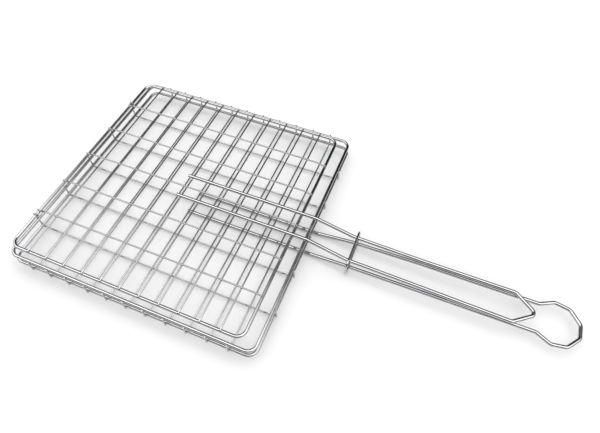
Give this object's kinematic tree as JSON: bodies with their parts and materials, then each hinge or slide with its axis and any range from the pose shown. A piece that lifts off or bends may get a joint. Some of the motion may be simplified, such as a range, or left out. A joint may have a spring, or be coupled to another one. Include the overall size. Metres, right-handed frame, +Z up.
{
  "type": "grill basket",
  "caption": "Flat hinged wire grill basket with two long wire handles and a sliding ring that locks the lid shut.",
  "frame": {"origin": "bottom centre of the whole object's box, on the table it lies on", "axes": "+X from the hinge towards the handles, +Z up, +Y completes the right-handed set"},
  "size_m": [0.708, 0.3586, 0.0403],
  "materials": {
    "frame_wire": "polished",
    "mesh_wire": "polished",
    "handle_wire": "polished",
    "ring_wire": "polished"
  },
  "bodies": {
    "basket": {"basket_rim": "frame_wire", "basket_lower_ring": "frame_wire", "basket_cross_wire_01": "mesh_wire", "basket_cross_wire_02": "mesh_wire", "basket_cross_wire_03": "mesh_wire", "basket_cross_wire_04": "mesh_wire", "basket_cross_wire_05": "mesh_wire", "basket_cross_wire_06": "mesh_wire", "basket_cross_wire_07": "mesh_wire", "basket_cross_wire_08": "mesh_wire", "basket_cross_wire_09": "mesh_wire", "basket_cross_wire_10": "mesh_wire", "basket_cross_wire_11": "mesh_wire", "basket_long_wire_1": "mesh_wire", "basket_long_wire_2": "mesh_wire", "basket_long_wire_3": "mesh_wire", "basket_long_wire_4": "mesh_wire", "basket_long_wire_5": "mesh_wire", "basket_handle": "handle_wire"},
    "lid": {"lid_frame": "frame_wire", "lid_cross_wire_01": "mesh_wire", "lid_cross_wire_02": "mesh_wire", "lid_cross_wire_03": "mesh_wire", "lid_cross_wire_04": "mesh_wire", "lid_cross_wire_05": "mesh_wire", "lid_cross_wire_06": "mesh_wire", "lid_cross_wire_07": "mesh_wire", "lid_cross_wire_08": "mesh_wire", "lid_cross_wire_09": "mesh_wire", "lid_cross_wire_10": "mesh_wire", "lid_cross_wire_11": "mesh_wire", "lid_long_wire_1": "mesh_wire", "lid_long_wire_2": "mesh_wire", "lid_long_wire_3": "mesh_wire", "lid_long_wire_4": "mesh_wire", "lid_long_wire_5": "mesh_wire", "lid_handle": "handle_wire"},
    "sliding_ring": {"sliding_ring": "ring_wire"}
  },
  "joints": [
    {"name": "lid_hinge", "type": "hinge", "parent": "basket", "child": "lid", "pos_m": [-0.34924, 0, 0.03111], "axis": [0, -1, 0], "range_deg": [0, 180]},
    {"name": "ring_slide", "type": "slide", "parent": "basket", "child": "sliding_ring", "axis": [1, 0, 0], "range_m": [0, 0.238]}
  ]
}
